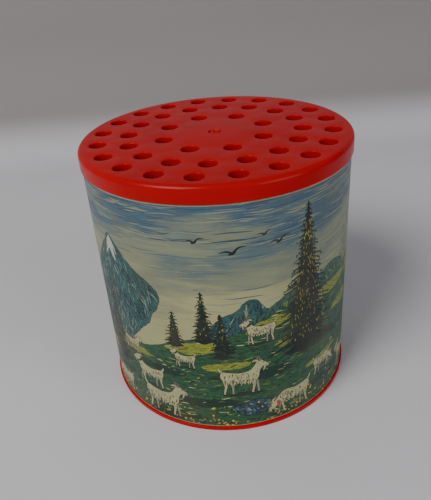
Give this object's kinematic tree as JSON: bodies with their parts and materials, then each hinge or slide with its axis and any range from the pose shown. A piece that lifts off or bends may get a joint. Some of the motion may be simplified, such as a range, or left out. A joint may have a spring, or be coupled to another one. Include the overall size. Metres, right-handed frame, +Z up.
{
  "type": "tilt voice box",
  "caption": "Round souvenir voice box that bleats when tipped: perforated snap lid, printed paper wrap, weighted bellows and reed inside.",
  "frame": {"origin": "centre of the foot ring's plane, on the floor that the box stands on", "axes": "+Z up through the middle of the perforated lid, -Y the front of the printed scene, +Y its lapped seam"},
  "size_m": [0.063, 0.063, 0.0636],
  "materials": {
    "red_plastic": "glossy, slightly translucent moulded styrene",
    "printed_paper": "varnished four-colour print, slightly aged",
    "felt": "pressed wool felt",
    "bellows_cloth": "thin rubberised cloth",
    "ivory_plastic": "unpolished moulding",
    "cast_iron": "as cast",
    "spring_steel": "bright rolled strip",
    "brass": "turned, slightly dull",
    "rubber": "matte"
  },
  "bodies": {
    "housing": {"housing_cup": "red_plastic", "label_wrap": "printed_paper", "floor_felt": "felt", "bellows": "bellows_cloth", "bellows_base_ring": "ivory_plastic"},
    "weight_unit": {"weight_carrier": "ivory_plastic", "guide_rim": "ivory_plastic", "reed_tube": "ivory_plastic", "carrier_peg_1": "ivory_plastic", "carrier_peg_2": "ivory_plastic", "carrier_peg_3": "ivory_plastic", "bellows_top_ring": "ivory_plastic", "weight_ring": "cast_iron", "weight_washer": "felt", "weight_retainer": "spring_steel", "guide_pad_1": "felt", "guide_pad_2": "felt", "guide_pad_3": "felt", "reed_gasket": "rubber", "reed_body": "brass", "reed_clamp": "brass", "resonator_horn": "ivory_plastic"},
    "reed": {"reed_tongue": "spring_steel"},
    "lid": {"lid": "red_plastic", "top_bumper": "felt"}
  },
  "joints": [
    {"name": "weight_drop", "type": "slide", "parent": "housing", "child": "weight_unit", "axis": [0, 0, 1], "range_m": [0, 0.024], "deforming": ["bellows"]},
    {"name": "reed_beat", "type": "hinge", "parent": "weight_unit", "child": "reed", "pos_m": [0.0012, 0, 0.025], "axis": [0, 1, 0], "range_deg": [-3, 4.5], "stiffness_Nm_per_rad": 0.0085},
    {"name": "lid_lift", "type": "slide", "parent": "housing", "child": "lid", "axis": [0, 0, 1], "range_m": [0, 0.045]}
  ]
}
